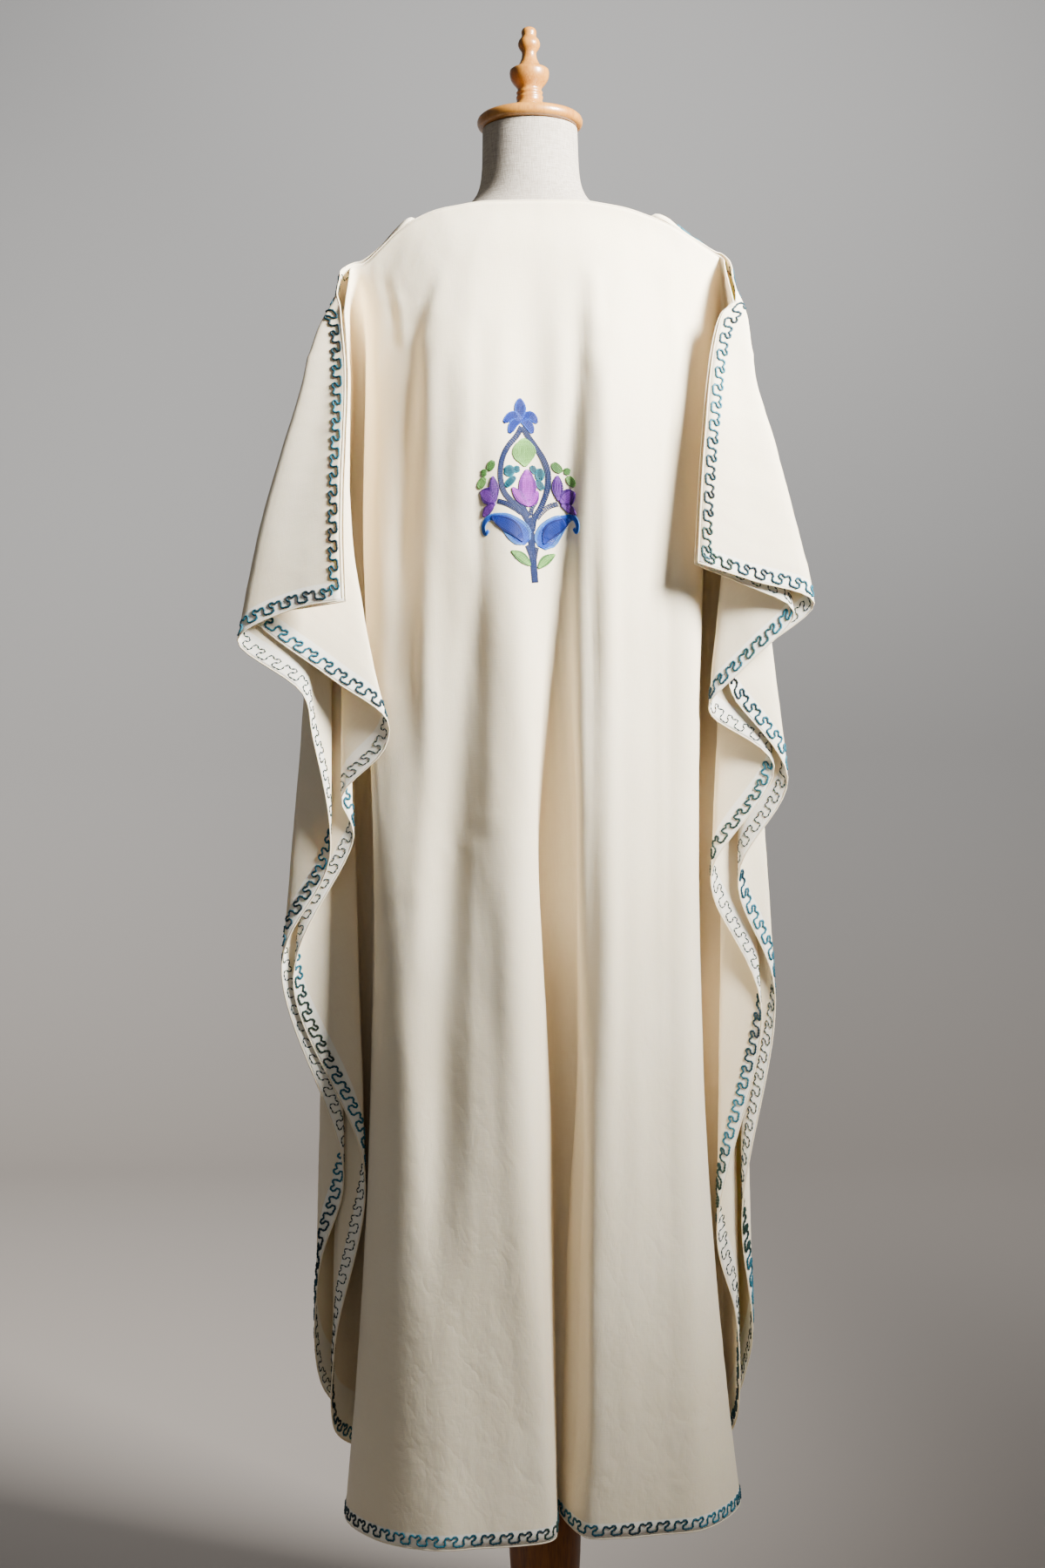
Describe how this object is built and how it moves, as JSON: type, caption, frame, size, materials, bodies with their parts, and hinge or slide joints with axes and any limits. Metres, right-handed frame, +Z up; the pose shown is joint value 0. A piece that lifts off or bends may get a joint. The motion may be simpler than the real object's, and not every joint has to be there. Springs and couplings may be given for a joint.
{
  "type": "kaftan on dress form",
  "caption": "Loose embroidered kaftan cut from two rectangles, its wide sides hanging in folds, worn by a limbless dress form on a turned wooden stand.",
  "frame": {"origin": "centre of the round base's underside, on the floor, on the stand's axis", "axes": "+Z up along the stand; the kaftan's back faces -Y, its front +Y; +X is to the right when its back is looked at"},
  "size_m": [0.6049, 0.36, 1.8345],
  "materials": {
    "kaftan_cloth": "matt ivory cloth, fine plain weave",
    "thread": "chain-stitch embroidery thread, mostly teal",
    "form_linen": "off-white linen cover",
    "light_wood": "honey-coloured turned wood, varnished",
    "dark_wood": "dark brown turned wood, varnished"
  },
  "bodies": {
    "root": {"kaftan_back": "kaftan_cloth", "kaftan_front": "kaftan_cloth", "form_torso": "form_linen", "neck_cap": "light_wood", "finial": "light_wood", "stand_column": "dark_wood", "stand_base": "dark_wood"}
  },
  "joints": []
}
